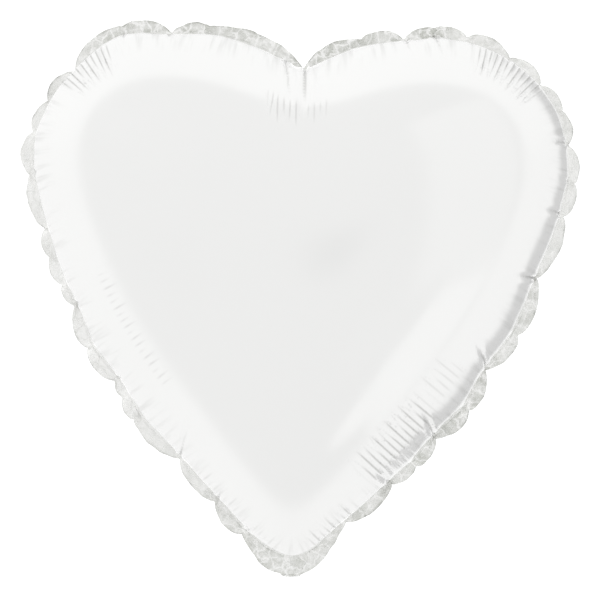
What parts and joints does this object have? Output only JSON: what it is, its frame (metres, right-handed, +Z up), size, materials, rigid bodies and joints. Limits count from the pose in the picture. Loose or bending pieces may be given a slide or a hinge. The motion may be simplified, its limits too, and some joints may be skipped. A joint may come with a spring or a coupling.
{
  "type": "foil balloon",
  "caption": "Heart-shaped foil party balloon in pearl white, with a heat-sealed scalloped edge, puffed faces and a folded filling tail with a flat self-sealing valve.",
  "frame": {"origin": "middle of the fold line at the bottom of the neck, where a ribbon is tied", "axes": "+X across the lobes to the viewer's right, +Y from the front face to the back face, +Z up from the bottom point to the lobes"},
  "size_m": [0.3828, 0.186, 0.3787],
  "materials": {
    "foil": "metallised pearl white film, glossy",
    "seal": "heat-sealed metallised film, satin",
    "valve_film": "clear polyethylene film",
    "coat": "printed heat-resistant coat"
  },
  "bodies": {
    "balloon": {"front_panel": "foil", "back_panel": "foil", "seal_border": "seal", "neck_front_film": "foil", "neck_back_film": "foil", "valve_throat_front_film": "valve_film", "valve_throat_back_film": "valve_film", "valve_release_coat": "coat"},
    "valve_tube": {"valve_front_film": "valve_film", "valve_back_film": "valve_film", "valve_side_welds": "valve_film"},
    "tail": {"tail_front_film": "foil", "tail_back_film": "foil", "tail_edge_weld": "seal", "valve_inlet_front_film": "valve_film", "valve_inlet_back_film": "valve_film"}
  },
  "joints": [
    {"name": "tail_fold", "type": "hinge", "parent": "balloon", "child": "tail", "pos_m": [0, 0.0009, 0], "axis": [-1, 0, 0], "range_deg": [0, 128]},
    {"name": "valve_swing", "type": "hinge", "parent": "balloon", "child": "valve_tube", "pos_m": [0, 0, 0.018], "axis": [1, 0, 0], "range_deg": [-20, 20]}
  ]
}
